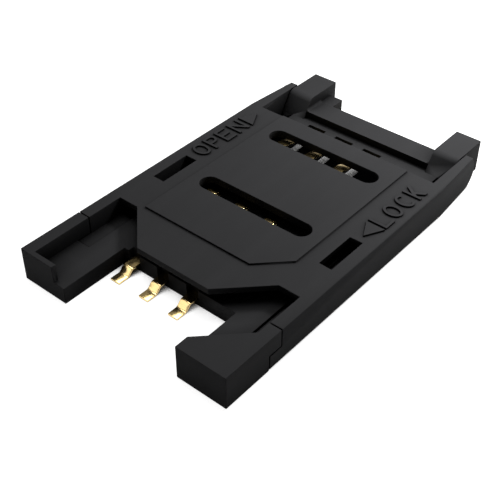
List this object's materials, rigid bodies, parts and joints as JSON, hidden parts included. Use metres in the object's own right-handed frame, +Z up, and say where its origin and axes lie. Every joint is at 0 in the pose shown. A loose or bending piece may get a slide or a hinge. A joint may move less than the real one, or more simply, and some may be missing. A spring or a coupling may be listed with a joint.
{
  "type": "sim card socket",
  "caption": "Board mounted SIM card socket of black plastic with gold spring contacts and a lid that slides back to unlock and flips up on hinge blocks, shown closed, locked and empty.",
  "frame": {"origin": "bottom centre of the whole socket, on the circuit board", "axes": "+X to the right seen from the open front, +Y from the open front to the hinge, +Z up from the board"},
  "size_m": [0.0172, 0.0296, 0.0026],
  "materials": {
    "housing_plastic": "fine grained black moulding",
    "lid_plastic": "fine grained black moulding",
    "pin_plastic": "smooth black moulding",
    "contact_gold": "bright gold plate on spring bronze"
  },
  "bodies": {
    "housing": {"base": "housing_plastic", "contact_front_1": "contact_gold", "contact_front_2": "contact_gold", "contact_front_3": "contact_gold", "contact_rear_1": "contact_gold", "contact_rear_2": "contact_gold", "contact_rear_3": "contact_gold"},
    "hinge_carriage": {"hinge_pin_left": "pin_plastic", "hinge_pin_right": "pin_plastic"},
    "lid": {"lid": "lid_plastic"}
  },
  "joints": [
    {"name": "lid_slide", "type": "slide", "parent": "housing", "child": "hinge_carriage", "axis": [0, 1, 0], "range_m": [0, 0.00125]},
    {"name": "lid_flip", "type": "hinge", "parent": "hinge_carriage", "child": "lid", "pos_m": [0, 0.0118, 0.0013], "axis": [-1, 0, 0], "range_deg": [0, 100]}
  ]
}
